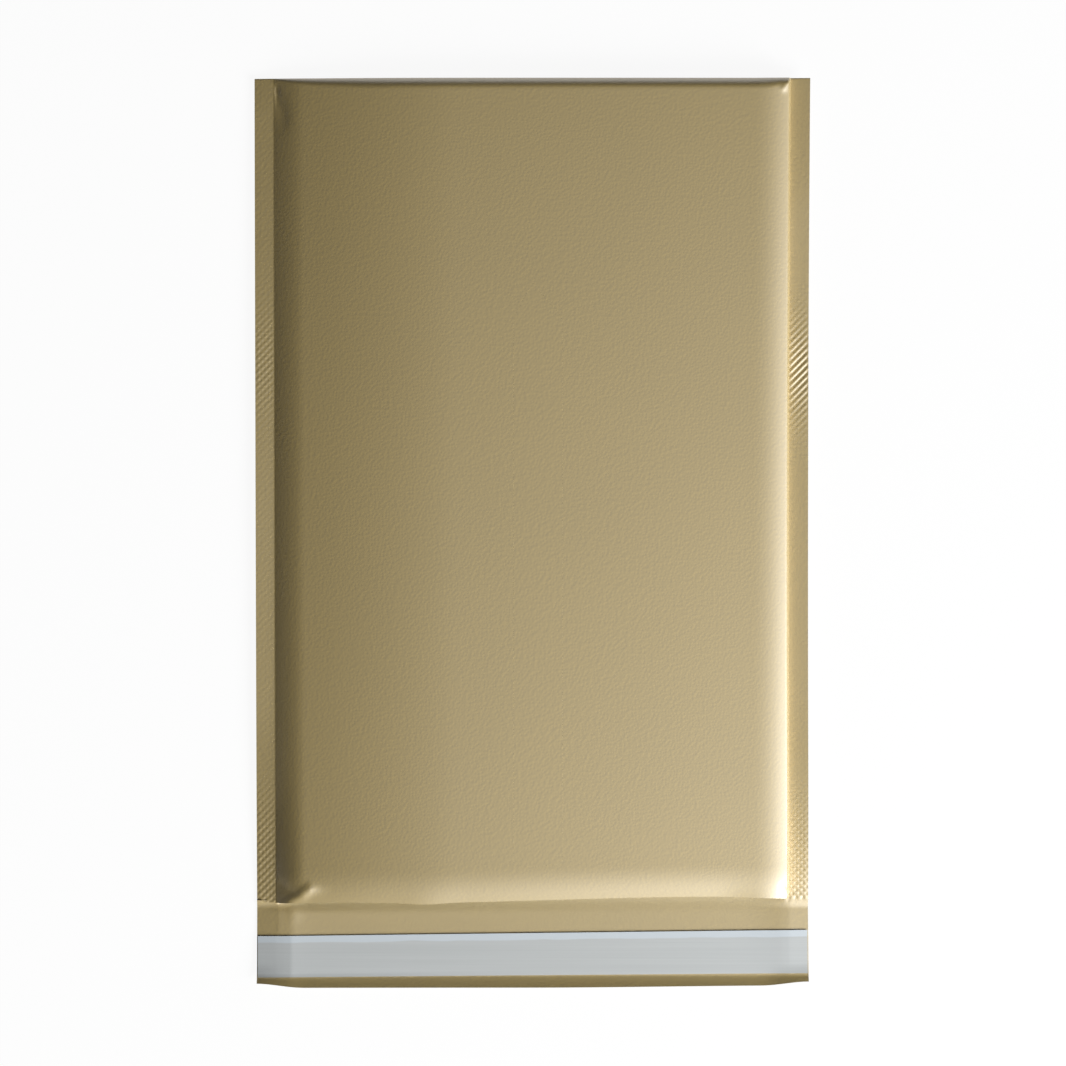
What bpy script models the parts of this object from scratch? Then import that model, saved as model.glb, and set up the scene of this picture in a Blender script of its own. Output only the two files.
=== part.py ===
"""A peel-and-seal padded envelope of gold film, empty and unsealed, lying on its back.

The mouth and its flap are towards -Y, the folded bottom is towards +Y, and the front panel faces +Z.
The outer film is one sheet: it is folded at the bottom, welded along both sides, and runs on past the
mouth as the flap. Inside it is a bubble lining, folded the same way. The flap carries a strip of
adhesive under a peel-off liner.
"""

import math
from collections import namedtuple

import bmesh
import bpy

# Overall sizes, in metres. Each side draws in by WAIST, most of all at WAIST_FROM_MOUTH above the mouth.
WIDTH = 0.1848
BODY_LENGTH = 0.2735
FLAP_LENGTH = 0.0289
SEAL_WIDTH = 0.0064
WAIST = 0.00075
WAIST_FROM_MOUTH = 0.072

# Thicknesses, in metres. CLEARANCE is the gap between pieces that lie on each other.
FILM = 0.0003
LINING = 0.0024
LINING_AT_MOUTH = 0.0008
ADHESIVE = 0.00015
LINER = 0.00012
CLEARANCE = 0.0003

# How the envelope stands open: the free height inside, in the pocket and at the mouth, and the
# height of the side seals off the table
POCKET_HEIGHT = 0.0048
MOUTH_HEIGHT = 0.0061
SEAL_LIFT = 0.0044

# Curved stretches: how far each reaches in from the seals, the mouth and the bottom fold, and how
# sharply it starts. A panel's middle stands higher than its sides by the share CROWN_FALL.
FRONT_SHOULDER = 0.011
BACK_SHOULDER = 0.016
MOUTH_SLOPE = 0.011
FOLD_DEPTH = 0.0038
FOLD_ROUNDNESS = 0.9
FRONT_POWER = 2.3
BACK_POWER = 2.0
MOUTH_POWER = 2.2
CROWN_FALL = 0.07

# Front and back meet at a sharp angle beside a seal, so a wall moves the corner in by more than itself
CORNER_SHIFT = 2.0

# Diamond embossing of the side seals: the distance between ridges along the seal, the height of a
# ridge over a pit, the lines of ridges across, and the two stretches where the sealing bars bit deep,
# each as its distance from the mouth and its length
EMBOSS_PITCH = 0.00234
EMBOSS_DEPTH = 0.0004
EMBOSS_COLUMNS = 6
EMBOSS_STRETCHES = ((0.0012, 0.0445), (0.1420, 0.0585))

# Flap: how soon it settles, and how its sides arch off the table, with a crest a little in from each
# side. Its cut edge curls up, and at the corners it curls up more and draws back.
FLAP_SETTLES = 0.012
SIDE_LIFT = 0.0012
SIDE_DROOP = 0.0009
SIDE_REACH = 0.014
CREST_INSET = 0.009
END_CURL = 0.0014
END_REACH = 0.0042
CORNER_LIFT = 0.0010
CORNER_DRAWN = 0.0013
CORNER_REACH_X = 0.016
CORNER_REACH_Y = 0.008

# Strips on the flap. LINER_EDGE is the flap's bare margin between its cut edge and the liner, and the
# others set the adhesive in from the liner's edge and both strips in from the flap's sides.
LINER_EDGE = 0.0036
LINER_WIDTH = 0.0141
LINER_END_GAP = 0.0003
ADHESIVE_WIDTH = 0.0112
ADHESIVE_INSET = 0.0006
ADHESIVE_END_GAP = 0.0008

# Fineness of the surfaces, as counts of strips
SHOULDER_COLUMNS = 6
MIDDLE_COLUMNS = 8
MOUTH_ROWS = 5
BODY_ROWS = 8
FOLD_ROWS = 6
FLAP_ROWS = 10
END_ROWS = 4
STRIP_ROWS = 6
COLUMN_CROWDING = 1.4
SHARP_ANGLE = math.radians(40)

# Two points closer than this are one point
JOINED = 1e-6

# Name, colour, metallic value and roughness of each material
GOLD_FILM = ("gold_film", (0.40, 0.31, 0.14), 0.6, 0.45)
BUBBLE_FILM = ("bubble_film", (0.80, 0.81, 0.80), 0.0, 0.35)
TACKY_FILM = ("adhesive", (0.55, 0.56, 0.55), 0.0, 0.30)
LINER_FILM = ("liner_film", (0.58, 0.61, 0.63), 0.0, 0.30)

FOLD_Y = (BODY_LENGTH + FLAP_LENGTH) / 2
MOUTH_Y = FOLD_Y - BODY_LENGTH
FLAP_Y = MOUTH_Y - FLAP_LENGTH
PANEL_HALF = WIDTH / 2 - SEAL_WIDTH
WAIST_Y = MOUTH_Y + WAIST_FROM_MOUTH
EMBOSS_STEP = EMBOSS_PITCH / 2

# One closed surface around the pocket. half is its half width and tip its half thickness there, top
# and bottom are its heights in the pocket and at the mouth, and fold_y is its end at the fold.
Surface = namedtuple("Surface", "half tip top bottom mouth_top mouth_bottom fold_y fold_depth")

# A line of points along Y at one x, with the number of its embossed line, or None where it is plain
Column = namedtuple("Column", "x emboss stations")


def inner_surface(surface, wall, wall_at_mouth):
    """The surface that lies one wall further in."""
    return Surface(
        half=surface.half - CORNER_SHIFT * wall,
        tip=0.0,
        top=surface.top - wall,
        bottom=surface.bottom + wall,
        mouth_top=surface.mouth_top - wall_at_mouth,
        mouth_bottom=surface.mouth_bottom + wall_at_mouth,
        fold_y=surface.fold_y - wall,
        fold_depth=surface.fold_depth - wall,
    )


FILM_OUTSIDE = Surface(
    half=PANEL_HALF,
    tip=FILM,
    top=POCKET_HEIGHT + 2 * (FILM + CLEARANCE + LINING),
    bottom=0.0,
    mouth_top=MOUTH_HEIGHT + 2 * (FILM + CLEARANCE + LINING_AT_MOUTH),
    mouth_bottom=0.0,
    fold_y=FOLD_Y,
    fold_depth=FOLD_DEPTH,
)
FILM_INSIDE = inner_surface(FILM_OUTSIDE, FILM, FILM)
LINING_OUTSIDE = inner_surface(FILM_INSIDE, CLEARANCE, CLEARANCE)
LINING_INSIDE = inner_surface(LINING_OUTSIDE, LINING, LINING_AT_MOUTH)


def rise(distance, reach, power):
    """0 at no distance, steep at first, and level at 1 from the reach on."""
    return 1 - (1 - min(max(distance / reach, 0.0), 1.0)) ** power


def ease(distance, reach):
    """0 at no distance and 1 from the reach on, level at both ends."""
    t = min(max(distance / reach, 0.0), 1.0)
    return t * t * (3 - 2 * t)


def heights(surface, x, y):
    """(lower, upper) height of a surface at the point x, y of the pocket or of a seal."""
    from_tip = surface.half - abs(x)
    full = rise(y - MOUTH_Y, MOUTH_SLOPE, MOUTH_POWER)
    top = surface.mouth_top + (surface.top - surface.mouth_top) * full
    bottom = surface.mouth_bottom + (surface.bottom - surface.mouth_bottom) * full
    top *= 1 - CROWN_FALL * (x / PANEL_HALF) ** 2
    upper_tip = SEAL_LIFT + surface.tip
    lower_tip = SEAL_LIFT - surface.tip
    upper = upper_tip + (top - upper_tip) * rise(from_tip, FRONT_SHOULDER, FRONT_POWER)
    lower = lower_tip + (bottom - lower_tip) * rise(from_tip, BACK_SHOULDER, BACK_POWER)
    middle, half = (upper + lower) / 2, (upper - lower) / 2
    depth = max(min(surface.fold_depth, half * FOLD_ROUNDNESS), JOINED)
    short_of_full = max(1 - (surface.fold_y - y) / depth, 0.0)
    half *= math.sqrt(max(1 - short_of_full**2, 0.0))
    return middle - half, middle + half


def corner_share(x):
    """0 along most of the flap's cut edge, and 1 at its two corners."""
    return ease(abs(x) - (WIDTH / 2 - CORNER_REACH_X), CORNER_REACH_X)


def flap_height(x, y):
    """Height of the flap's underside, which leaves the back panel at the mouth and settles on the table."""
    at_mouth = heights(FILM_OUTSIDE, x, MOUTH_Y)[0]
    settled = ease(MOUTH_Y - y, FLAP_SETTLES)
    past_crest = abs(x) - (WIDTH / 2 - CREST_INSET)
    side = SIDE_LIFT * ease(past_crest + SIDE_REACH, SIDE_REACH)
    side -= SIDE_DROOP * max(past_crest, 0.0) / CREST_INSET
    end = max(FLAP_Y + END_REACH - y, 0.0) / END_REACH
    corner = corner_share(x) * ease(FLAP_Y + CORNER_REACH_Y - y, CORNER_REACH_Y)
    return at_mouth * (1 - settled) + side * settled + END_CURL * end**2 + CORNER_LIFT * corner


def embossing(number, y):
    """Height that the diamond pattern adds at y on an embossed line, where ridges and pits alternate."""
    if number is None:
        return 0.0
    for start, length in EMBOSS_STRETCHES:
        step = round((y - MOUTH_Y - start) / EMBOSS_STEP)
        if 0 <= step <= round(length / EMBOSS_STEP):
            return EMBOSS_DEPTH / 2 * (-1) ** (number + step)
    return 0.0


def even_steps(first, last, count):
    return [first + (last - first) * i / count for i in range(count + 1)]


def body_stations(surface):
    """Places along Y from the mouth to the fold, closer where the surface curves."""
    slope_end = MOUTH_Y + MOUTH_SLOPE
    fold_start = surface.fold_y - surface.fold_depth
    angles = even_steps(0, math.pi / 2, FOLD_ROWS)
    mouth = even_steps(MOUTH_Y, slope_end, MOUTH_ROWS)
    body = even_steps(slope_end, fold_start, BODY_ROWS)
    return mouth + body[1:] + [fold_start + surface.fold_depth * math.sin(a) for a in angles[1:]]


def seal_stations():
    """The body's places along Y, with the pattern's own where a seal is embossed."""
    rows = []
    for start, length in EMBOSS_STRETCHES:
        first = MOUTH_Y + start
        rows += [first + i * EMBOSS_STEP for i in range(round(length / EMBOSS_STEP) + 1)]
    plain = [y for y in body_stations(FILM_OUTSIDE) if all(abs(y - row) > EMBOSS_STEP for row in rows)]
    return sorted([MOUTH_Y] + rows + [y for y in plain if y > MOUTH_Y])


def flap_stations(x):
    """Places along Y from the flap's cut edge, drawn back at its corners, up to but not at the mouth."""
    drawn_to = FLAP_Y + CORNER_DRAWN * corner_share(x)
    curl_end = FLAP_Y + END_REACH
    return even_steps(drawn_to, curl_end, END_ROWS)[:-1] + even_steps(curl_end, MOUTH_Y, FLAP_ROWS)[:-1]


def panel_places(half):
    """Places across a panel from tip to tip, closer on the shoulders."""
    shares = even_steps(0, 1, SHOULDER_COLUMNS)
    side = [half - FRONT_SHOULDER * share**COLUMN_CROWDING for share in shares]
    middle = even_steps(-side[-1], side[-1], MIDDLE_COLUMNS)[1:-1]
    return [-x for x in side] + middle + side[::-1]


def panel_columns(surface):
    """The lines of a surface. Those at its tips stop one place early, which rounds the corners."""
    stations = body_stations(surface)
    places = panel_places(surface.half)
    inner = [Column(x, None, stations) for x in places[1:-1]]
    return [Column(places[0], None, stations[:-1])] + inner + [Column(places[-1], None, stations[:-1])]


def seal_columns(side):
    """The lines of the seal on one side of the envelope, -1 or 1, from left to right."""
    margin = (SEAL_WIDTH - (EMBOSS_COLUMNS - 1) * EMBOSS_STEP) / 2
    stations = seal_stations()
    lines = [Column(side * PANEL_HALF, None, stations)]
    for number in range(EMBOSS_COLUMNS):
        x = PANEL_HALF + margin + number * EMBOSS_STEP
        lines.append(Column(side * x, number, stations))
    lines.append(Column(side * WIDTH / 2, None, stations))
    return lines if side > 0 else lines[::-1]


def add_point(mesh, x, y, z):
    """A point of the envelope, drawn in towards the middle where the sides have their waist."""
    from_waist = (y - WAIST_Y) / (FOLD_Y - WAIST_Y)
    drawn_in = WAIST / (WIDTH / 2) * (1 - from_waist**2)
    return mesh.verts.new((x * (1 - drawn_in), y, z))


def stitch(mesh, left, right):
    """Triangles between two lines of points that start and end side by side."""
    i = j = 0
    while i + 1 < len(left) or j + 1 < len(right):
        if i + 1 == len(left) or j + 1 == len(right):
            go_left = j + 1 == len(right)
        else:
            go_left = (left[i + 1].co - right[j].co).length <= (right[j + 1].co - left[i].co).length
        corners = (left[i], right[j], left[i + 1] if go_left else right[j + 1])
        if len(set(corners)) == 3:
            mesh.faces.new(corners)
        i, j = (i + 1, j) if go_left else (i, j + 1)


def stitch_all(mesh, lines):
    for left, right in zip(lines, lines[1:]):
        stitch(mesh, left, right)


def first_points(lines):
    return [line[0] for line in lines]


def last_points(lines):
    return [line[-1] for line in lines]


def pocket_lines(mesh, surface, columns):
    """The lower and the upper lines of a surface, from the mouth to the fold, where they meet."""
    lower, upper = [], []
    for column in columns:
        low, high = [], []
        for y in column.stations:
            low_z, high_z = heights(surface, column.x, y)
            lift = embossing(column.emboss, y)
            low.append(add_point(mesh, column.x, y, low_z + lift))
            apart = high_z - low_z > JOINED
            high.append(add_point(mesh, column.x, y, high_z + lift) if apart else low[-1])
        lower.append(low)
        upper.append(high)
    return lower, upper


def flap_lines(mesh, places, lift):
    """Lines of points along the flap, a given height over its underside."""
    return [[add_point(mesh, x, y, flap_height(x, y) + lift) for y in flap_stations(x)] for x in places]


def plain_material(name, colour, metallic, roughness):
    material = bpy.data.materials.new(name)
    material.use_nodes = True
    shader = material.node_tree.nodes["Principled BSDF"]
    shader.inputs["Base Color"].default_value = (*colour, 1.0)
    shader.inputs["Metallic"].default_value = metallic
    shader.inputs["Roughness"].default_value = roughness
    return material


def add_object(name, mesh, finish):
    bmesh.ops.recalc_face_normals(mesh, faces=mesh.faces)
    data = bpy.data.meshes.new(name)
    mesh.to_mesh(data)
    mesh.free()
    data.shade_smooth()
    data.set_sharp_from_angle(angle=SHARP_ANGLE)
    data.materials.append(plain_material(*finish))
    bpy.context.scene.collection.objects.link(bpy.data.objects.new(name, data))


def make_outer_film():
    """The gold film: front, folded bottom, back and flap in one sheet, welded along both sides."""
    mesh = bmesh.new()
    seals = seal_columns(-1), seal_columns(1)
    panel = [Column(x, None, body_stations(FILM_OUTSIDE)) for x in panel_places(PANEL_HALF)[1:-1]]
    columns = seals[0] + panel + seals[1]
    back, front = pocket_lines(mesh, FILM_OUTSIDE, columns)
    inner = panel_columns(FILM_INSIDE)
    inner_low, inner_high = pocket_lines(mesh, FILM_INSIDE, inner)

    # The flap's underside carries on from the back panel, and its top from the inside of that panel
    under = flap_lines(mesh, [column.x for column in columns], 0.0)
    seal_rims = []
    over = []
    for side, seal in zip((-1, 1), seals):
        # The line on the panel's edge is left out, because the inside's own tip is beside it
        places = [column.x for column in seal if abs(column.x) > PANEL_HALF]
        rim = [add_point(mesh, x, MOUTH_Y, SEAL_LIFT) for x in places]
        lines = flap_lines(mesh, places, FILM)
        seal_rims.append(rim)
        over.append([line + [end] for line, end in zip(lines, rim)])
    middle = flap_lines(mesh, [column.x for column in inner], FILM)
    middle = [line + [low[0]] for line, low in zip(middle, inner_low)]
    over = over[0] + middle + over[1]

    stitch_all(mesh, front)
    stitch_all(mesh, [flap + line for flap, line in zip(under, back)])
    stitch_all(mesh, over)
    stitch_all(mesh, inner_low)
    stitch_all(mesh, inner_high)
    stitch(mesh, first_points(front), seal_rims[0] + first_points(inner_high) + seal_rims[1])
    stitch(mesh, first_points(under), first_points(over))
    for edge in (0, -1):
        # The cut edge of the seal, which the end of the flap's top meets half way up, then the flap's
        rim = over[edge][-1]
        mesh.faces.new((rim, front[edge][0], front[edge][1]))
        mesh.faces.new((rim, back[edge][0], back[edge][1]))
        stitch(mesh, [rim] + front[edge][1:], [rim] + back[edge][1:])
        stitch(mesh, under[edge] + back[edge][:1], over[edge])
    add_object("outer_film", mesh, GOLD_FILM)


def make_bubble_lining():
    """The bubble lining, drawn as a smooth padded pocket of the bubbles' full height."""
    mesh = bmesh.new()
    outside = pocket_lines(mesh, LINING_OUTSIDE, panel_columns(LINING_OUTSIDE))
    inside = pocket_lines(mesh, LINING_INSIDE, panel_columns(LINING_INSIDE))
    for outer, inner in zip(outside, inside):
        stitch_all(mesh, outer)
        stitch_all(mesh, inner)
        stitch(mesh, first_points(outer), first_points(inner))
    add_object("bubble_lining", mesh, BUBBLE_FILM)


def make_strip(name, finish, edge, width, end_gap, base, thickness):
    """A strip across the flap, from edge to edge + width, with its underside at base over the flap's."""
    mesh = bmesh.new()
    places = panel_places(WIDTH / 2 - end_gap)
    rows = even_steps(FLAP_Y + edge, FLAP_Y + edge + width, STRIP_ROWS)
    faces = []
    for lift in (base, base + thickness):
        lines = [[add_point(mesh, x, y, flap_height(x, y) + lift) for y in rows] for x in places]
        stitch_all(mesh, lines)
        faces.append(lines)
    low, high = faces
    stitch(mesh, first_points(low), first_points(high))
    stitch(mesh, last_points(low), last_points(high))
    stitch(mesh, low[0], high[0])
    stitch(mesh, low[-1], high[-1])
    add_object(name, mesh, finish)


def main():
    for obj in list(bpy.data.objects):
        bpy.data.objects.remove(obj)
    make_outer_film()
    make_bubble_lining()
    adhesive_base = FILM + CLEARANCE
    liner_base = adhesive_base + ADHESIVE + CLEARANCE
    edge = LINER_EDGE + ADHESIVE_INSET
    make_strip("adhesive_strip", TACKY_FILM, edge, ADHESIVE_WIDTH, ADHESIVE_END_GAP, adhesive_base, ADHESIVE)
    make_strip("release_liner", LINER_FILM, LINER_EDGE, LINER_WIDTH, LINER_END_GAP, liner_base, LINER)


main()
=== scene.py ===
"""The finished look of the padded envelope: gold film, bubble lining, adhesive strip and release liner.

The mouth and its flap are towards -Y, the folded bottom is towards +Y, and the front panel faces +Z.
Each piece is a fine mesh on height formulas like those of the solid that it stands for, with the small
forms added that show in the shading. Lengths are in metres. A reach is the distance over which something
rises or fades.
"""

import math
from collections import namedtuple

import bmesh
import bpy
import numpy as np
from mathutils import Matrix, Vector


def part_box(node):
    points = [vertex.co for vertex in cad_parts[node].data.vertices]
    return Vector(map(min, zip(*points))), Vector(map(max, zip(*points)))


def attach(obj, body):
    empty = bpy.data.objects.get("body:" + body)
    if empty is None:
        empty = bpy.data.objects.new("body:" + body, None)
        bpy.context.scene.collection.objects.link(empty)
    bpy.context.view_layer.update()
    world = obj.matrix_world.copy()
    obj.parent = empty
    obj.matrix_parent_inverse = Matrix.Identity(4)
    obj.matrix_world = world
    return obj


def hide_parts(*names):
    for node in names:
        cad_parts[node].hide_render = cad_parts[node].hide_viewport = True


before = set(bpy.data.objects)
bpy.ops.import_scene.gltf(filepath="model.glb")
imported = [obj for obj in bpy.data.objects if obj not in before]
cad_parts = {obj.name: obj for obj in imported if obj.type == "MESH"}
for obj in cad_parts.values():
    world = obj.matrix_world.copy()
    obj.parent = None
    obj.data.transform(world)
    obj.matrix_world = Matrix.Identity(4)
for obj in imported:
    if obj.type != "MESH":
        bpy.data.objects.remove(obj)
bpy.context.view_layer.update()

# Boxes of the solids
FILM_LOW, FILM_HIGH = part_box("outer_film")
LINING_LOW, LINING_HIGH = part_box("bubble_lining")
ADHESIVE_LOW, ADHESIVE_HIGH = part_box("adhesive_strip")
LINER_LOW, LINER_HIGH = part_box("release_liner")

# Thicknesses, and the gap between the film and the lining
FILM = 0.0003
LINING = 0.0024
LINING_AT_MOUTH = 0.0008
ADHESIVE = 0.00015
LINER = 0.00012
CLEARANCE = 0.0003

# Plan. At its sides a surface lies CORNER_SHIFT walls further in than the one outside it.
WIDTH = FILM_HIGH.x - FILM_LOW.x
FOLD_Y = FILM_HIGH.y
FLAP_Y = FILM_LOW.y
MOUTH_Y = LINING_LOW.y
CORNER_SHIFT = 2.0
PANEL_HALF = LINING_HIGH.x + CORNER_SHIFT * (FILM + CLEARANCE)
SEAL_WIDTH = WIDTH / 2 - PANEL_HALF

# Heights of the front's top in the pocket and at the mouth, and of the seals, which sink by these shares
# towards the mouth and towards the fold
TOP = FILM_HIGH.z
MOUTH_TOP = 0.0089
LEFT_SEAL_LIFT = 0.0028
RIGHT_SEAL_LIFT = 0.0052
LEFT_MOUTH_SINK = 0.50
RIGHT_MOUTH_SINK = 0.76
MOUTH_SINK_REACH = 0.050
FOLD_SINK = 0.18
FOLD_SINK_REACH = 0.050

# Height of each seal's outer edge over its inner edge, as (place along Y, height), because the seals
# twist gently along their length
LEFT_TWIST = (
    (-0.122, -0.00090), (-0.117, -0.00098), (-0.110, -0.00100), (-0.095, -0.00092), (-0.075, -0.00070),
    (-0.055, -0.00034), (0.010, -0.00010), (0.060, -0.00025),
    (0.100, -0.00050), (0.140, -0.00050), (0.151, -0.00080),
)
RIGHT_TWIST = (
    (-0.122, 0.00010), (-0.119, 0.00018), (-0.114, 0.00044), (-0.104, 0.00062), (-0.090, 0.00064),
    (-0.055, 0.00046), (0.020, 0.00038), (0.075, 0.00010),
    (0.105, -0.00005), (0.135, 0.00025), (0.151, 0.00040),
)

# Curved stretches: the back's shoulders, the slope to the mouth and the rounded fold. The fold's depth
# is divided by, so it never gets smaller than SMALLEST_DEPTH.
BACK_SHOULDER = 0.016
BACK_POWER = 2.0
MOUTH_SLOPE = 0.011
MOUTH_POWER = 2.4
FOLD_DEPTH = 0.0038
FOLD_ROUNDNESS = 0.9
SMALLEST_DEPTH = 1e-6

# The front is crowned, so it falls by these shares to its sides, and a little towards the fold
LEFT_CROWN_FALL = 0.10
RIGHT_CROWN_FALL = 0.06
FOLD_FALL = 0.0005
FOLD_FALL_REACH = 0.080

# Power of the falls and sinks that are plain parabolas
PLAIN = 2

# The front's shoulders, which start at the seals: a gentle slope with its height, reach and power, and a
# foot that takes up the rest of the height. The gentle slope is higher towards the fold by a small share.
SHOULDER_FADE = 0.13
Shoulder = namedtuple("Shoulder", "height reach power foot_reach foot_power")
LEFT_SHOULDER = Shoulder(0.0047, 0.060, 1.9, 0.0098, 1.9)
RIGHT_SHOULDER = Shoulder(0.0016, 0.013, 2.9, 0.0009, 2.0)

# How far each side is drawn in: the left evenly towards the mouth, the right in a shallow bow
LEFT_DRAWN_IN = 0.0008
RIGHT_DRAWN_IN = 0.0008
RIGHT_BOW_Y = -0.020

# The front's lip runs aslant, so its right part lies further from the flap's edge
LIP_SLANT = 0.0021
LIP_SLANT_X = -0.045
LIP_SLANT_REACH = 0.105
LIP_SLANT_START = 0.15
LIP_REACH = 0.045

# The lip also runs in a gentle wave. It comes out by LIP_WAVE at each (place across, reach, share), and
# at its right end.
LIP_WAVE = 0.00055
LIP_WAVES = ((-0.0355, 0.0075, 1.0), (-0.084, 0.010, 0.9))
RIGHT_WAVE = 1.1
RIGHT_WAVE_X = 0.060
RIGHT_WAVE_REACH = 0.025

# The lip lies a little higher at its right end
LIP_END_RISE = 0.0008
LIP_END_X = 0.064
LIP_END_REACH = 0.018

# The flap keeps the curve of the mouth's lower edge, less the shares of a first step down and of a slow
# settling, and it droops along its sides
LEFT_STEP_DOWN = 0.72
RIGHT_STEP_DOWN = 0.50
STEP_REACH = 0.0022
SETTLING = 0.50
LEFT_DROOP = 0.0010
RIGHT_DROOP = 0.0006
DROOP_REACH = 0.009

# A low crest near the flap's left end, and the gentle rise to its cut edge
LEFT_CREST_X = -0.0808
LEFT_CREST_HEIGHT = 0.0010
LEFT_CREST_REACH = 0.060
LEFT_CREST_GROWTH = 0.004
FLAP_RISE = 0.0012

# The cut edge runs a little aslant and curls up, more so at its two drawn-back corners
END_SLANT = 0.0007
END_CURL = 0.0016
END_REACH = 0.0040
END_POWER = 1.25
CORNER_LIFT = 0.0010
CORNER_DRAWN = 0.0013
CORNER_REACH_X = 0.016
CORNER_REACH_Y = 0.008

# Places of the strips' ends, from the solids' boxes before the flap's sides draw in
DRAWN_IN_AT_FLAP = 0.0006
LINER_END = LINER_HIGH.x + DRAWN_IN_AT_FLAP
ADHESIVE_END = ADHESIVE_HIGH.x + DRAWN_IN_AT_FLAP

# The strips lie closer to the flap than in the solids, so that the liner throws only a thin shadow
STRIP_GAP = 0.0001
ADHESIVE_BASE = FILM + STRIP_GAP
LINER_BASE = ADHESIVE_BASE + ADHESIVE + STRIP_GAP

# The strips lie a little aslant: how far their edges lie from the plain places, and more at one end
LOW_EDGE_SHIFT = 0.0004
LOW_EDGE_SLANT = 0.0007
HIGH_EDGE_SHIFT = 0.0003
HIGH_EDGE_SLANT = 0.00105

# The liner's lighter margin, its wandering and how softly it ends
LINER_MARGIN = 0.0022
MARGIN_WANDER = 0.0012
MARGIN_BLUR = 0.0003

# Embossing of the seals: a net of pits between level lands, which leaves a thin border plain. Everywhere
# a share of it is slanting lines.
EMBOSS_PITCH = 0.00234
EMBOSS_HEIGHT = 0.00020
EMBOSS_LAND = 0.6
EMBOSS_PIT = 1.6
EMBOSS_SLANTED = 0.2
EMBOSS_BORDER = 0.0006
EMBOSS_FOLD_BORDER = 0.003

# It is deep near the mouth and faint elsewhere, apart from a stretch in each seal's upper half, with its
# place, reach and depth, and how much more of it is slanting lines there
DEEP_Y = -0.076
DEEP_REACH = 0.032
Embossing = namedtuple("Embossing", "faint stretch_y stretch_reach stretch_depth slanted")
LEFT_EMBOSSING = Embossing(0.10, 0.057, 0.016, 0.65, 0.0)
RIGHT_EMBOSSING = Embossing(0.14, 0.054, 0.020, 1.0, 0.6)

# Bubbles of the lining. The first row stands BUBBLE_INSET behind the mouth.
BUBBLE_RADIUS = 0.0048
BUBBLE_PITCH = 0.0108
BUBBLE_INSET = 0.0008
BUBBLE_POWER = 0.55
BUBBLE_RINGS = 4
BUBBLE_SIDES = 14
BUBBLE_FILM = 0.00025

# Size of the cells on the seals' front and back, and rows round the seals' folded end
SEAL_CELL = 0.00039
BACK_SEAL_CELL = 0.00058
SEAL_END_ROWS = 3

# Columns across a panel: on each shoulder, where they lie closer towards the tip, and between them
Columns = namedtuple("Columns", "shoulder middle")
FILM_COLUMNS = Columns(22, 46)
INSIDE_COLUMNS = Columns(10, 24)
LINING_COLUMNS = Columns(14, 34)
STRIP_COLUMNS = Columns(30, 60)
CROWDED_REACH = 0.013
COLUMN_CROWDING = 1.5

# Rows along a panel: on the slope to the mouth, on the body, just before the fold and round it. The
# stretches of closer rows are a little longer than the curves that they follow.
Rows = namedtuple("Rows", "mouth body fold")
FRONT_ROWS = Rows(16, 110, 12)
BACK_ROWS = Rows(16, 70, 12)
INSIDE_ROWS = Rows(8, 50, 6)
LINING_ROWS = Rows(12, 70, 8)
NEAR_FOLD_ROWS = 3
MOUTH_STRETCH = 1.3
FOLD_STRETCH = 1.6
ROW_CROWDING = 1.2

# Rows on the flap's flat part, on its curled edge and across a strip
FLAP_ROWS = 26
END_ROWS = 8
STRIP_ROWS = 20

# Faces that meet at a sharper angle than this, in degrees, show an edge
SMOOTH_ANGLE = 38

# One surface of the pocket: half its width, half its thickness at its sides, its upper and lower heights
# in the pocket and at the mouth, and where it folds over and how deeply
Surface = namedtuple("Surface", "half tip top bottom mouth_top mouth_bottom fold_y fold_depth")


def inner_surface(surface, wall, wall_at_mouth):
    """The surface that lies one wall further in."""
    return Surface(
        half=surface.half - CORNER_SHIFT * wall,
        tip=0.0,
        top=surface.top - wall,
        bottom=surface.bottom + wall,
        mouth_top=surface.mouth_top - wall_at_mouth,
        mouth_bottom=surface.mouth_bottom + wall_at_mouth,
        fold_y=surface.fold_y - wall,
        fold_depth=surface.fold_depth - wall,
    )


FILM_OUTSIDE = Surface(PANEL_HALF, FILM, TOP, 0.0, MOUTH_TOP, 0.0, FOLD_Y, FOLD_DEPTH)
FILM_INSIDE = inner_surface(FILM_OUTSIDE, FILM, FILM)
LINING_OUTSIDE = inner_surface(FILM_INSIDE, CLEARANCE, CLEARANCE)
LINING_INSIDE = inner_surface(LINING_OUTSIDE, LINING, LINING_AT_MOUTH)


def rise(distance, reach, power):
    """0 at no distance, steep at first, and level at 1 from the reach on."""
    return 1 - (1 - np.clip(distance / reach, 0, 1)) ** power


def ease(distance, reach):
    """0 at no distance and 1 from the reach on, level at both ends."""
    t = np.clip(distance / reach, 0, 1)
    return t * t * (3 - 2 * t)


def hump(value, centre, reach):
    """1 at the centre, falling to nothing on both sides."""
    return np.exp(-(((value - centre) / reach) ** 2))


def segment_distance(x, y, start, end):
    """Distance of each point to the line between two points."""
    along = np.array(end) - np.array(start)
    share = ((x - start[0]) * along[0] + (y - start[1]) * along[1]) / (along @ along)
    share = np.clip(share, 0, 1)
    return np.hypot(x - start[0] - share * along[0], y - start[1] - share * along[1])


# A small fold in the film: from start to end, its width and its height. On the front such folds fade
# close to a seal's inner edge and to the bottom fold.
Crease = namedtuple("Crease", "start end width height")
CREASE_BORDER = 0.001
CREASE_FOLD_BORDER = 0.002

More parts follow.
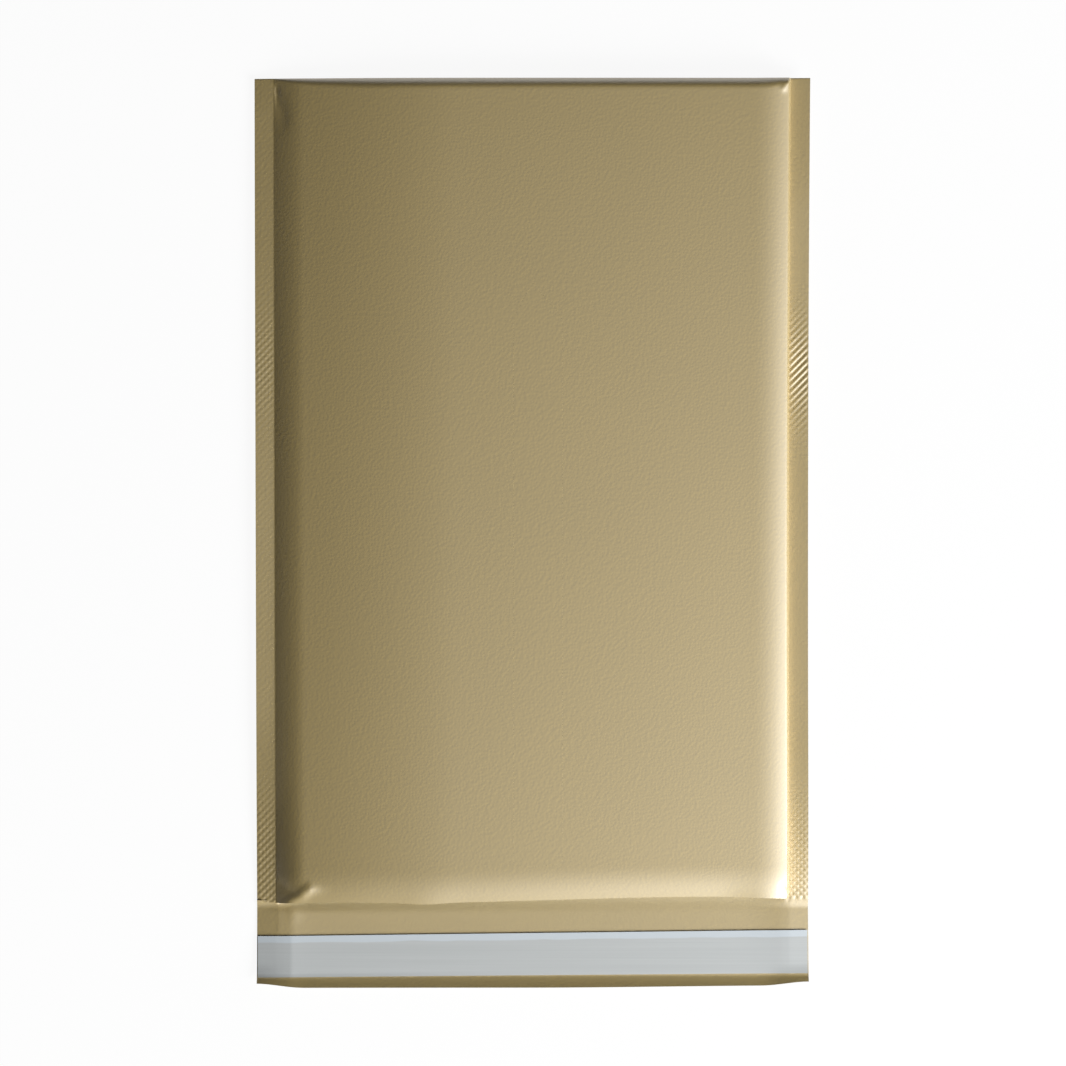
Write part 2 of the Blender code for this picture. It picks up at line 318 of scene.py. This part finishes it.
FRONT_CREASES = (
    Crease((-0.0835, -0.1232), (-0.0745, -0.1178), 0.0017, 0.00070),
    Crease((-0.0838, -0.1165), (-0.0790, -0.1195), 0.0016, -0.00030),
    Crease((0.0835, -0.1185), (0.0850, -0.1215), 0.0009, -0.00030),
    Crease((-0.0853, 0.1475), (-0.0845, 0.1445), 0.0012, -0.00040),
    Crease((-0.0835, 0.1425), (-0.0825, 0.1375), 0.0018, -0.00035),
    Crease((0.0835, 0.1475), (0.0860, 0.1508), 0.0010, 0.00030),
)

FLAP_CREASES = (
    Crease((-0.0849, -0.1240), (-0.0849, -0.1330), 0.0007, 0.00005),
    Crease((-0.0800, -0.1250), (-0.0798, -0.1280), 0.0014, 0.00012),
)


def creases(x, y, listed):
    """Height that the listed small folds add."""
    total = np.zeros(np.broadcast(x, y).shape)
    for crease in listed:
        total += crease.height * hump(segment_distance(x, y, crease.start, crease.end), 0, crease.width)
    return total


def seal_lift(x, y):
    """Height of a seal's middle off the table."""
    near_mouth = 1 - rise(y - MOUTH_Y, MOUTH_SINK_REACH, PLAIN)
    near_fold = 1 - ease(FOLD_Y - y, FOLD_SINK_REACH)
    sink = np.where(x < 0, LEFT_MOUTH_SINK, RIGHT_MOUTH_SINK) * near_mouth + FOLD_SINK * near_fold
    return np.where(x < 0, LEFT_SEAL_LIFT, RIGHT_SEAL_LIFT) * (1 - sink)


def shoulder_fall(from_tip, y, full_height, slope):
    """How far the front lies below its top at a distance from its tip."""
    height = slope.height * (1 + SHOULDER_FADE * y / FOLD_Y)
    gentle = height * (1 - rise(from_tip, slope.reach, slope.power))
    return gentle + (full_height - height) * (1 - rise(from_tip, slope.foot_reach, slope.foot_power))


def heights(surface, x, y):
    """(lower, upper) heights of one surface of the pocket or of a seal."""
    from_tip = surface.half - np.abs(x)
    full = rise(y - MOUTH_Y, MOUTH_SLOPE, MOUTH_POWER)
    top = surface.mouth_top + (surface.top - surface.mouth_top) * full
    bottom = surface.mouth_bottom + (surface.bottom - surface.mouth_bottom) * full
    top = top + LIP_END_RISE * ease(x - LIP_END_X, LIP_END_REACH) * (1 - full)
    top = top * (1 - np.where(x < 0, LEFT_CROWN_FALL, RIGHT_CROWN_FALL) * (x / PANEL_HALF) ** 2)
    top = top - FOLD_FALL * (1 - rise(FOLD_Y - y, FOLD_FALL_REACH, PLAIN))
    tip = seal_lift(x, y)
    full_height = top - tip - surface.tip
    left_fall = shoulder_fall(from_tip, y, full_height, LEFT_SHOULDER)
    upper = top - np.where(x < 0, left_fall, shoulder_fall(from_tip, y, full_height, RIGHT_SHOULDER))
    lower = tip - surface.tip + (bottom - tip + surface.tip) * rise(from_tip, BACK_SHOULDER, BACK_POWER)
    middle = (upper + lower) / 2
    half = (upper - lower) / 2
    depth = np.maximum(np.minimum(surface.fold_depth, half * FOLD_ROUNDNESS), SMALLEST_DEPTH)
    short_of_full = np.maximum(1 - (surface.fold_y - y) / depth, 0)
    half = half * np.sqrt(np.maximum(1 - short_of_full**2, 0))
    return middle - half, middle + half


def corner_share(x):
    """0 along most of the flap's cut edge, and 1 at its two corners."""
    return ease(np.abs(x) - (WIDTH / 2 - CORNER_REACH_X), CORNER_REACH_X)


def flap_height(x, y):
    """Height of the flap's underside."""
    at_mouth = heights(FILM_OUTSIDE, x, MOUTH_Y)[0]
    below = MOUTH_Y - y
    step_down = np.where(x < 0, LEFT_STEP_DOWN, RIGHT_STEP_DOWN) * ease(below, STEP_REACH)
    kept = (1 - step_down) * (1 - SETTLING * ease(below, MOUTH_Y - FLAP_Y))
    outwards = np.maximum(np.abs(x) - (WIDTH / 2 - DROOP_REACH), 0) / DROOP_REACH
    droop = np.where(x < 0, LEFT_DROOP, RIGHT_DROOP) * outwards * kept * ease(below, STEP_REACH)
    raised = FLAP_RISE * below / (MOUTH_Y - FLAP_Y)
    outside = np.clip((x + WIDTH / 2) / (LEFT_CREST_X + WIDTH / 2), 0, 1)
    inside = np.exp(-np.maximum(x - LEFT_CREST_X, 0) / LEFT_CREST_REACH)
    raised = raised + LEFT_CREST_HEIGHT * outside * inside * ease(below, LEFT_CREST_GROWTH)
    end = np.maximum(FLAP_Y + END_REACH - y, 0) / END_REACH
    corner = corner_share(x) * ease(FLAP_Y + CORNER_REACH_Y - y, CORNER_REACH_Y)
    raised = raised + END_CURL * end**END_POWER + CORNER_LIFT * corner
    return at_mouth * kept - droop + raised + creases(x, y, FLAP_CREASES)


def seal_embossing(y, seal):
    """(strength, share of slanting lines) of one seal's embossing."""
    upper = hump(y, seal.stretch_y, seal.stretch_reach)
    deep = np.maximum(seal.stretch_depth * upper, ease(DEEP_Y - y, DEEP_REACH))
    return seal.faint + (1 - seal.faint) * deep, EMBOSS_SLANTED + seal.slanted * upper


def embossing(x, y):
    """Height of the embossing of both seals."""
    across = math.pi * 2 / EMBOSS_PITCH * (np.abs(x) - PANEL_HALF)
    along = math.pi * 2 / EMBOSS_PITCH * (y - MOUTH_Y)
    left_strength, left_slanted = seal_embossing(y, LEFT_EMBOSSING)
    right_strength, right_slanted = seal_embossing(y, RIGHT_EMBOSSING)
    strength = np.where(x < 0, left_strength, right_strength)
    slanted = np.where(x < 0, left_slanted, right_slanted)
    pits = (1 + np.cos(across - along)) * (1 + np.cos(across + along)) / 4
    pattern = slanted * np.cos(across - along) + (1 - slanted) * (EMBOSS_LAND - EMBOSS_PIT * pits)
    from_edge = np.minimum(np.abs(x) - PANEL_HALF, WIDTH / 2 - np.abs(x))
    height = EMBOSS_HEIGHT * strength * pattern
    return height * ease(from_edge, EMBOSS_BORDER) * ease(FOLD_Y - y, EMBOSS_FOLD_BORDER)


def seal_tilt(x, y):
    """Height that the gentle twist of a seal adds, which grows towards its outer edge."""
    outwards = np.clip((np.abs(x) - PANEL_HALF) / SEAL_WIDTH, 0, 1)
    left = np.interp(y, *zip(*LEFT_TWIST))
    right = np.interp(y, *zip(*RIGHT_TWIST))
    return outwards * np.where(x < 0, left, right)


def place(x, y):
    """Where a point at x, y of the plain outline lies across, with each side drawn in as it really is."""
    left = LEFT_DRAWN_IN * np.clip((FOLD_Y - y) / (FOLD_Y - MOUTH_Y), 0, 1)
    from_bow = (y - RIGHT_BOW_Y) / (FOLD_Y - RIGHT_BOW_Y)
    right = RIGHT_DRAWN_IN * np.clip(1 - from_bow**2, 0, 1)
    share = x / (WIDTH / 2)
    return x + np.where(x < 0, -share * left, -share * right)


def lip_shift(x, y):
    """How far a point of the front lies towards +Y of its plain place, as the lip's slant and wave ask."""
    wave = sum(share * hump(x, centre, reach) for centre, reach, share in LIP_WAVES)
    wave = wave + RIGHT_WAVE * ease(x - RIGHT_WAVE_X, RIGHT_WAVE_REACH)
    slant = ease(x - LIP_SLANT_X, LIP_SLANT_REACH) - LIP_SLANT_START
    return (LIP_SLANT * slant - LIP_WAVE * wave) * (1 - ease(y - MOUTH_Y, LIP_REACH))


class Skin:
    """Points and faces of one piece, collected before its mesh is made."""

    def __init__(self):
        self.blocks = []
        self.faces = []
        self.count = 0

    def add(self, x, y, z):
        """Adds points of the plain outline, drawn in as the sides are, and returns their numbers."""
        x, y, z = np.broadcast_arrays(x, y, z)
        self.blocks.append(np.stack([place(x, y), y, z], axis=-1).reshape(-1, 3))
        numbers = self.count + np.arange(x.size).reshape(x.shape)
        self.count += x.size
        return numbers

    def points(self):
        """All points so far, one a row."""
        return np.concatenate(self.blocks)

    def quads(self, grid):
        """Faces between the points of a grid."""
        corners = grid[:-1, :-1], grid[1:, :-1], grid[1:, 1:], grid[:-1, 1:]
        self.faces += np.stack(corners, axis=-1).reshape(-1, 4).tolist()

    def stitch(self, left, right):
        """Triangles between two lines of points that start and end side by side."""
        points = self.points()
        left = [int(n) for n in left]
        right = [int(n) for n in right]
        i = j = 0
        while i + 1 < len(left) or j + 1 < len(right):
            if i + 1 == len(left) or j + 1 == len(right):
                go_left = j + 1 == len(right)
            else:
                left_cut = np.sum((points[left[i + 1]] - points[right[j]]) ** 2)
                right_cut = np.sum((points[right[j + 1]] - points[left[i]]) ** 2)
                go_left = left_cut <= right_cut
            corners = (left[i], right[j], left[i + 1] if go_left else right[j + 1])
            if len(set(corners)) == 3:
                self.faces.append(corners)
            i, j = (i + 1, j) if go_left else (i, j + 1)


def make_piece(name, skin, material, node):
    """A piece from collected points and faces, which stands for one node of the solids."""
    data = bpy.data.meshes.new(name)
    data.from_pydata(skin.points().tolist(), [], skin.faces)
    mesh = bmesh.new()
    mesh.from_mesh(data)
    loose = [point for point in mesh.verts if not point.link_faces]
    bmesh.ops.delete(mesh, geom=loose, context="VERTS")
    bmesh.ops.recalc_face_normals(mesh, faces=mesh.faces)
    mesh.to_mesh(data)
    mesh.free()
    data.shade_smooth()
    data.set_sharp_from_angle(angle=math.radians(SMOOTH_ANGLE))
    data.materials.append(material)
    piece = bpy.data.objects.new(name, data)
    bpy.context.scene.collection.objects.link(piece)
    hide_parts(node)
    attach(piece, "root")
    return piece


def steps(first, last, count):
    """Even places from first to last, with count gaps between them."""
    return np.linspace(first, last, count + 1)


def stations(surface, rows):
    """Places along Y from the mouth to the fold, closer where the surface curves."""
    slope_end = MOUTH_Y + MOUTH_SLOPE * MOUTH_STRETCH
    fold_start = surface.fold_y - surface.fold_depth * FOLD_STRETCH
    mouth = MOUTH_Y + (slope_end - MOUTH_Y) * steps(0, 1, rows.mouth) ** ROW_CROWDING
    body = steps(slope_end, fold_start, rows.body)
    near = steps(fold_start, surface.fold_y - surface.fold_depth, NEAR_FOLD_ROWS)
    round_part = surface.fold_y - surface.fold_depth * (1 - np.sin(steps(0, math.pi / 2, rows.fold)))
    return np.concatenate([mouth, body[1:], near[1:], round_part[1:]])


def panel_places(half, columns):
    """Places across a panel from tip to tip, closer on the shoulders."""
    side = half - CROWDED_REACH * steps(0, 1, columns.shoulder) ** COLUMN_CROWDING
    middle = steps(-side[-1], side[-1], columns.middle)[1:-1]
    return np.concatenate([-side, middle, side[::-1]])


def front_points(skin, x, y):
    """A grid of points of the front, one row for each x."""
    x = x[:, None]
    y = y[None, :]
    z = heights(FILM_OUTSIDE, x, y)[1] + front_relief(x, y)
    return skin.add(x, y + lip_shift(x, y), z)


def front_relief(x, y):
    """Small shapes of the front that the plain formulas leave out."""
    on_seal = np.abs(x) > PANEL_HALF
    folds = creases(x, y, FRONT_CREASES)
    folds = folds * ease(PANEL_HALF - np.abs(x), CREASE_BORDER) * ease(FOLD_Y - y, CREASE_FOLD_BORDER)
    return np.where(on_seal, embossing(x, y), folds) + seal_tilt(x, y)


def back_points(skin, x, y):
    """A grid of points of the back, one row for each x."""
    x = x[:, None]
    y = y[None, :]
    z = heights(FILM_OUTSIDE, x, y)[0]
    return skin.add(x, y, z + np.where(np.abs(x) > PANEL_HALF, embossing(x, y), 0) + seal_tilt(x, y))


def flap_stations(x):
    """Places along Y from the flap's cut edge up to but not at the mouth, for each x."""
    drawn_to = FLAP_Y + CORNER_DRAWN * corner_share(x) + END_SLANT * ease(x, WIDTH / 2)
    curl_end = FLAP_Y + END_REACH
    share = steps(0, 1, END_ROWS)[:-1]
    curl = drawn_to[:, None] * (1 - share) + curl_end * share
    flat = steps(curl_end, MOUTH_Y, FLAP_ROWS)[:-1]
    return np.concatenate([curl, np.broadcast_to(flat, (len(x), len(flat)))], axis=1)


def flap_points(skin, x, lift):
    """A grid of points of the flap, one row for each x, a given height over its underside."""
    y = flap_stations(x)
    return skin.add(x[:, None], y, flap_height(x[:, None], y) + lift)


def seal_places(side):
    """Places across the left seal, whose side is -1, or the right one, from left to right."""
    places = PANEL_HALF + steps(0, SEAL_WIDTH, round(SEAL_WIDTH / SEAL_CELL))
    return places if side > 0 else -places[::-1]


def seal_stations(cell):
    """Places along a seal, from the mouth to the bottom fold, with the rounded end's own."""
    even = steps(MOUTH_Y, FOLD_Y - FILM, round((FOLD_Y - MOUTH_Y) / cell))
    angles = steps(0, math.pi / 2, SEAL_END_ROWS)[1:]
    return np.concatenate([even, FOLD_Y - FILM * (1 - np.sin(angles))])


def build_outer_film(material):
    """The gold film: front, folded bottom, back and flap in one sheet, welded along both sides."""
    skin = Skin()
    # Sides are -1 for the left seal, 0 for the panel and 1 for the right seal
    places = {-1: seal_places(-1), 0: panel_places(PANEL_HALF, FILM_COLUMNS)[1:-1], 1: seal_places(1)}
    front_y = {0: stations(FILM_OUTSIDE, FRONT_ROWS)}
    back_y = {0: stations(FILM_OUTSIDE, BACK_ROWS)}
    front_y[-1] = front_y[1] = seal_stations(SEAL_CELL)
    back_y[-1] = back_y[1] = seal_stations(BACK_SEAL_CELL)
    front = {}
    back = {}
    for side in (-1, 1, 0):
        front[side] = front_points(skin, places[side], front_y[side])
        low = back_points(skin, places[side], back_y[side][:-1])
        back[side] = np.concatenate([low, front[side][:, -1:]], axis=1)

    inner_x = panel_places(FILM_INSIDE.half, INSIDE_COLUMNS)
    x = inner_x[:, None]
    y = stations(FILM_INSIDE, INSIDE_ROWS)[None, :]
    inner_high = skin.add(x, y + lip_shift(x, y), heights(FILM_INSIDE, x, y)[1])
    inner_low_part = skin.add(x, y[:, :-1], heights(FILM_INSIDE, x, y[:, :-1])[0])
    inner_low = np.concatenate([inner_low_part, inner_high[:, -1:]], axis=1)
    # The tips of the inside are one line, shared by its two sheets
    inner_low[0] = inner_high[0]
    inner_low[-1] = inner_high[-1]

    under = {side: flap_points(skin, places[side], 0.0) for side in (-1, 0, 1)}
    over = {-1: flap_points(skin, places[-1][:-1], FILM), 1: flap_points(skin, places[1][1:], FILM)}
    over[0] = flap_points(skin, inner_x, FILM)
    rims = {}
    for side in (-1, 1):
        x = places[side][:-1] if side < 0 else places[side][1:]
        rims[side] = skin.add(x, MOUTH_Y, seal_lift(x, MOUTH_Y))
        over[side] = np.concatenate([over[side], rims[side][:, None]], axis=1)
    over[0] = np.concatenate([over[0], inner_low[:, :1]], axis=1)

    for sheets in (front, back, over):
        for side in (-1, 0, 1):
            skin.quads(sheets[side])
        skin.stitch(sheets[-1][-1], sheets[0][0])
        skin.stitch(sheets[0][-1], sheets[1][0])
    skin.quads(inner_high)
    skin.quads(inner_low[1:-1])
    skin.stitch(inner_low[0], inner_low[1])
    skin.stitch(inner_low[-2], inner_low[-1])
    flap_under = {}
    for side in (-1, 0, 1):
        flap_under[side] = np.concatenate([under[side], back[side][:, :1]], axis=1)
        skin.quads(flap_under[side])
    skin.stitch(flap_under[-1][-1], flap_under[0][0])
    skin.stitch(flap_under[0][-1], flap_under[1][0])

    # The lip of the front, the flap's cut edge, and the cut edges of the seals
    front_lip = np.concatenate([front[side][:, 0] for side in (-1, 0, 1)])
    skin.stitch(front_lip, np.concatenate([rims[-1], inner_high[:, 0], rims[1]]))
    under_edge = np.concatenate([under[side][:, 0] for side in (-1, 0, 1)])
    over_edge = np.concatenate([over[side][:, 0] for side in (-1, 0, 1)])
    skin.stitch(under_edge, over_edge)
    for side, edge in ((-1, 0), (1, -1)):
        rim = over[side][edge][-1]
        skin.stitch(front[side][edge], np.concatenate([[rim], back[side][edge]]))
        skin.stitch(flap_under[side][edge], over[side][edge])
    make_piece("gold_film_pouch", skin, material, "outer_film")


def add_domes(skin, centres, base, free, toward):
    """Bubbles: closed cushions that stand off their sheet, steep at the rim and flatter on top.

    base and free are the surfaces of the sheet and of the bubbles' tops, and toward is 0 where their
    lower sides are meant and 1 where their upper sides are.
    """
    angles = np.linspace(0, 2 * math.pi, BUBBLE_SIDES, endpoint=False)
    rings = []
    for share in np.linspace(0, 1, BUBBLE_RINGS + 1):
        reach = BUBBLE_RADIUS * np.cos(share * math.pi / 2) ** BUBBLE_POWER
        turned = angles if share < 1 else angles[:1]
        x = centres[:, 0, None] + reach * np.cos(turned)
        y = centres[:, 1, None] + reach * np.sin(turned)
        foot = heights(base, x, y)[toward]
        full = heights(free, x, y)[toward]
        rings.append((x, y, foot + (full - foot) * np.sin(share * math.pi / 2)))
    foot_x, foot_y = centres[:, :1], centres[:, 1:]
    rings.insert(0, (foot_x, foot_y, heights(base, foot_x, foot_y)[toward]))
    numbers = [skin.add(x, y + lip_shift(x, y), z) for x, y, z in rings]
    for low, high in zip(numbers, numbers[1:]):
        for i in range(BUBBLE_SIDES):
            k = (i + 1) % BUBBLE_SIDES
            corners = [low[:, i % low.shape[1]], low[:, k % low.shape[1]]]
            corners += [high[:, k % high.shape[1]], high[:, i % high.shape[1]]]
            if low.shape[1] == 1:
                corners = corners[1:]
            if high.shape[1] == 1:
                corners = corners[:-1]
            skin.faces += np.stack(corners, axis=-1).tolist()


def build_bubble_lining(material):
    """The lining: a folded sheet of film whose round bubbles stand inwards."""
    skin = Skin()
    inside = inner_surface(LINING_OUTSIDE, BUBBLE_FILM, BUBBLE_FILM)
    sheets = []
    for surface in (LINING_OUTSIDE, inside):
        x = panel_places(surface.half, LINING_COLUMNS)[:, None]
        y = stations(surface, LINING_ROWS)[None, :]
        low_z, high_z = heights(surface, x, y)
        high = skin.add(x, y + lip_shift(x, y), high_z)
        low = skin.add(x, (y + lip_shift(x, y))[:, :-1], low_z[:, :-1])
        low = np.concatenate([low, high[:, -1:]], axis=1)
        low[0] = high[0]
        low[-1] = high[-1]
        skin.quads(high)
        skin.quads(low[1:-1])
        skin.stitch(low[0], low[1])
        skin.stitch(low[-2], low[-1])
        sheets.append((low, high))
    for which in (0, 1):
        skin.stitch(sheets[0][which][:, 0], sheets[1][which][:, 0])

    half = LINING_INSIDE.half - BUBBLE_RADIUS
    row_pitch = BUBBLE_PITCH * math.sqrt(3) / 2
    first_y = MOUTH_Y + BUBBLE_RADIUS + BUBBLE_INSET
    last_y = LINING_INSIDE.fold_y - BUBBLE_RADIUS
    centres = []
    for row in range(int((last_y - first_y) / row_pitch) + 1):
        count = int((2 * half - (row % 2) * BUBBLE_PITCH) / BUBBLE_PITCH)
        for column in range(count + 1):
            centres.append(((column - count / 2) * BUBBLE_PITCH, first_y + row * row_pitch))
    for toward in (0, 1):
        add_domes(skin, np.array(centres), inside, LINING_INSIDE, toward)
    piece = make_piece("bubble_film_lining", skin, material, "bubble_lining")


def build_strip(name, node, material, half, low, high, base, thickness):
    """A strip across the flap, a little aslant, whose underside lies at base over the flap's."""
    skin = Skin()
    x = panel_places(half, STRIP_COLUMNS)[:, None]
    low_line = low + LOW_EDGE_SHIFT + LOW_EDGE_SLANT * x / half
    high_line = high + HIGH_EDGE_SHIFT + HIGH_EDGE_SLANT * x / half
    y = low_line + (high_line - low_line) * steps(0, 1, STRIP_ROWS)[None, :]
    faces = []
    for lift in (base, base + thickness):
        grid = skin.add(x, y, flap_height(x, y) + lift)
        skin.quads(grid)
        faces.append(grid)
    under, over = faces
    for edge in (0, -1):
        skin.stitch(under[edge], over[edge])
        skin.stitch(under[:, edge], over[:, edge])
    make_piece(name, skin, material, node)


def connect(tree, socket, value):
    """Sets a socket to a plain value, or links it where the value is another socket."""
    if isinstance(value, bpy.types.NodeSocket):
        tree.links.new(value, socket)
    else:
        socket.default_value = value


def feed(tree, node, inputs):
    """Connects a node's inputs by their names, in which an underscore stands for a space."""
    for key, value in inputs.items():
        connect(tree, node.inputs[key.replace("_", " ")], value)


def new_material(name, **inputs):
    """A material, its node tree, and its shader with the given inputs."""
    material = bpy.data.materials.new(name)
    material.use_nodes = True
    tree = material.node_tree
    shader = tree.nodes["Principled BSDF"]
    feed(tree, shader, inputs)
    return material, tree, shader


def add_node(tree, kind, **inputs):
    """A new node with the given inputs."""
    node = tree.nodes.new(kind)
    feed(tree, node, inputs)
    return node


def add_math(tree, operation, *operands):
    """What a math node gives for numbers or sockets."""
    node = tree.nodes.new("ShaderNodeMath")
    node.operation = operation
    for socket, value in zip(node.inputs, operands):
        connect(tree, socket, value)
    return node.outputs["Value"]


def object_coordinates(tree, scale):
    """Object coordinates, in metres times scale along each axis."""
    coordinates = tree.nodes.new("ShaderNodeTexCoord")
    mapping = add_node(tree, "ShaderNodeMapping", Scale=scale, Vector=coordinates.outputs["Object"])
    return mapping.outputs["Vector"]


def add_noise(tree, where, scale, detail):
    """Noise at the given coordinates."""
    return add_node(tree, "ShaderNodeTexNoise", Scale=scale, Detail=detail, Vector=where).outputs["Fac"]


def add_mix(tree, factor, low, high):
    """A colour that goes from low to high with the factor."""
    mix = tree.nodes.new("ShaderNodeMix")
    mix.data_type = "RGBA"
    feed(tree, mix, {"Factor": factor, "A": low, "B": high})
    return mix.outputs["Result"]


def add_bump(tree, height, strength, distance):
    """Normals of a surface with the given relief."""
    bump = add_node(tree, "ShaderNodeBump", Strength=strength, Distance=distance, Height=height)
    return bump.outputs["Normal"]


def gold_material():
    """Satin gold film: a saturated gold under a whitish gloss, with a fine pebbled grain."""
    material, tree, shader = new_material(
        "gold_film", Roughness=0.60, Metallic=0.20, Coat_Weight=1.0, Coat_Roughness=0.53, Coat_IOR=4.0,
    )
    where = object_coordinates(tree, (1, 1, 1))
    grain = add_node(tree, "ShaderNodeTexVoronoi", Scale=1100.0, Randomness=0.9, Vector=where)
    grain.feature = "SMOOTH_F1"
    mottle = add_noise(tree, where, scale=24.0, detail=3.0)
    tint = add_mix(tree, mottle, (0.45, 0.308, 0.039, 1), (0.49, 0.335, 0.046, 1))
    relief = add_bump(tree, grain.outputs["Distance"], strength=0.7, distance=0.00012)
    feed(tree, shader, {"Base Color": tint, "Normal": relief})
    return material


def bubble_material():
    """Milky clear bubble film."""
    material, tree, shader = new_material("bubble_film", Roughness=0.28, IOR=1.45, Transmission_Weight=0.35)
    haze = add_noise(tree, object_coordinates(tree, (1, 1, 1)), scale=90.0, detail=3.0)
    tint = add_mix(tree, haze, (0.74, 0.76, 0.76, 1), (0.86, 0.87, 0.86, 1))
    relief = add_bump(tree, haze, strength=0.2, distance=0.0001)
    feed(tree, shader, {"Base Color": tint, "Normal": relief})
    return material


def adhesive_material():
    """Clear to grey hot-melt adhesive with fine streaks from its coating."""
    material, tree, shader = new_material("adhesive", Roughness=0.25)
    streaks = add_noise(tree, object_coordinates(tree, (60, 900, 60)), scale=1.0, detail=4.0)
    tint = add_mix(tree, streaks, (0.46, 0.47, 0.46, 1), (0.60, 0.61, 0.59, 1))
    relief = add_bump(tree, streaks, strength=0.3, distance=0.0001)
    feed(tree, shader, {"Base Color": tint, "Normal": relief})
    return material


def margin_share(tree):
    """1 along the liner's edge on the mouth's side, where no adhesive lies under it, and 0 elsewhere."""
    where = object_coordinates(tree, (1, 1, 1))
    split = add_node(tree, "ShaderNodeSeparateXYZ", Vector=where).outputs
    slant = add_math(tree, "MULTIPLY_ADD", split["X"], -HIGH_EDGE_SLANT / LINER_END, split["Y"])
    wander = add_noise(tree, where, scale=60.0, detail=2.0)
    edge = add_math(tree, "MULTIPLY_ADD", wander, MARGIN_WANDER, slant)
    share = tree.nodes.new("ShaderNodeMapRange")
    share.interpolation_type = "SMOOTHSTEP"
    start = LINER_HIGH.y + HIGH_EDGE_SHIFT - LINER_MARGIN + MARGIN_WANDER / 2
    feed(tree, share, {"From Min": start - MARGIN_BLUR, "From Max": start + MARGIN_BLUR, "Value": edge})
    return share.outputs["Result"]


def liner_material():
    """Smooth bluish-grey release film with faint streaks, and lighter where no adhesive lies under it."""
    material, tree, shader = new_material("liner_film", Roughness=0.45, IOR=2.2)
    streaks = add_noise(tree, object_coordinates(tree, (12, 1400, 12)), scale=1.0, detail=3.0)
    tint = add_mix(tree, streaks, (0.485, 0.51, 0.51, 1), (0.595, 0.62, 0.62, 1))
    tint = add_mix(tree, margin_share(tree), tint, (0.62, 0.68, 0.725, 1))
    relief = add_bump(tree, streaks, strength=0.15, distance=0.00005)
    feed(tree, shader, {"Base Color": tint, "Normal": relief})
    return material


# Camera over the middle of the envelope, looking straight down
CAMERA_HEIGHT = 1.5
SENSOR = 36.0
SEEN_WIDTH = 0.3553
CAMERA_X = 0.0003


def build_camera():
    camera = bpy.data.cameras.new("camera")
    camera.sensor_width = SENSOR
    camera.lens = SENSOR * CAMERA_HEIGHT / SEEN_WIDTH
    camera.clip_end = 20
    holder = bpy.data.objects.new("camera", camera)
    holder.location = (CAMERA_X, 0, CAMERA_HEIGHT)
    bpy.context.scene.collection.objects.link(holder)
    bpy.context.scene.camera = holder


# Light: a broad soft lamp towards +X and -Y, and a dim white surround
LAMP_DIRECTION = (1.365, -1.066, 1.0)
LAMP_DISTANCE = 1.45
LAMP_SIZE = 0.78
LAMP_WATTS = 38.5
SURROUND = 0.025


def build_light():
    lamp = bpy.data.lights.new("soft_box", "AREA")
    lamp.shape = "SQUARE"
    lamp.size = LAMP_SIZE
    lamp.energy = LAMP_WATTS
    holder = bpy.data.objects.new("soft_box", lamp)
    direction = np.array(LAMP_DIRECTION) / np.linalg.norm(LAMP_DIRECTION)
    holder.location = tuple(direction * LAMP_DISTANCE)
    holder.rotation_euler = Vector(direction).to_track_quat("Z", "Y").to_euler()
    bpy.context.scene.collection.objects.link(holder)
    world = bpy.data.worlds.new("surround")
    world.use_nodes = True
    tree = world.node_tree
    background = tree.nodes["Background"]
    background.inputs["Color"].default_value = (1, 1, 1, 1)
    background.inputs["Strength"].default_value = SURROUND
    bpy.context.scene.world = world


# Floor: half its side, and how much of the lit floor, and so of the shadow, shows in its plain white
FLOOR_HALF = 6.0
FLOOR_SHADOW_SHARE = 0.07


def build_floor():
    """A white floor. Seen by the camera it is mostly plain white, and keeps a faint shadow."""
    data = bpy.data.meshes.new("floor")
    corners = [(-FLOOR_HALF, -FLOOR_HALF, 0), (FLOOR_HALF, -FLOOR_HALF, 0), (FLOOR_HALF, FLOOR_HALF, 0)]
    data.from_pydata(corners + [(-FLOOR_HALF, FLOOR_HALF, 0)], [], [(0, 1, 2, 3)])
    material = bpy.data.materials.new("floor")
    material.use_nodes = True
    tree = material.node_tree
    tree.nodes.remove(tree.nodes["Principled BSDF"])
    paint = add_node(tree, "ShaderNodeBsdfDiffuse", Color=(0.93, 0.93, 0.93, 1))
    glow = add_node(tree, "ShaderNodeEmission", Color=(1, 1, 1, 1), Strength=1.0)
    path = tree.nodes.new("ShaderNodeLightPath")
    seen = path.outputs["Is Camera Ray"]
    for ray in ("Is Glossy Ray", "Is Transmission Ray"):
        seen = add_math(tree, "MAXIMUM", seen, path.outputs[ray])
    share = add_math(tree, "MULTIPLY", seen, 1 - FLOOR_SHADOW_SHARE)
    mix = add_node(tree, "ShaderNodeMixShader", Fac=share)
    tree.links.new(paint.outputs["BSDF"], mix.inputs[1])
    tree.links.new(glow.outputs["Emission"], mix.inputs[2])
    tree.links.new(mix.outputs["Shader"], tree.nodes["Material Output"].inputs["Surface"])
    data.materials.append(material)
    floor = bpy.data.objects.new("floor", data)
    bpy.context.scene.collection.objects.link(floor)


build_outer_film(gold_material())
build_bubble_lining(bubble_material())
build_strip(
    "sealing_adhesive", "adhesive_strip", adhesive_material(), ADHESIVE_END,
    ADHESIVE_LOW.y, ADHESIVE_HIGH.y, ADHESIVE_BASE, ADHESIVE,
)
build_strip(
    "peel_off_liner", "release_liner", liner_material(), LINER_END,
    LINER_LOW.y, LINER_HIGH.y, LINER_BASE, LINER,
)
build_floor()
build_camera()
build_light()

bpy.context.scene.view_settings.view_transform = "Standard"
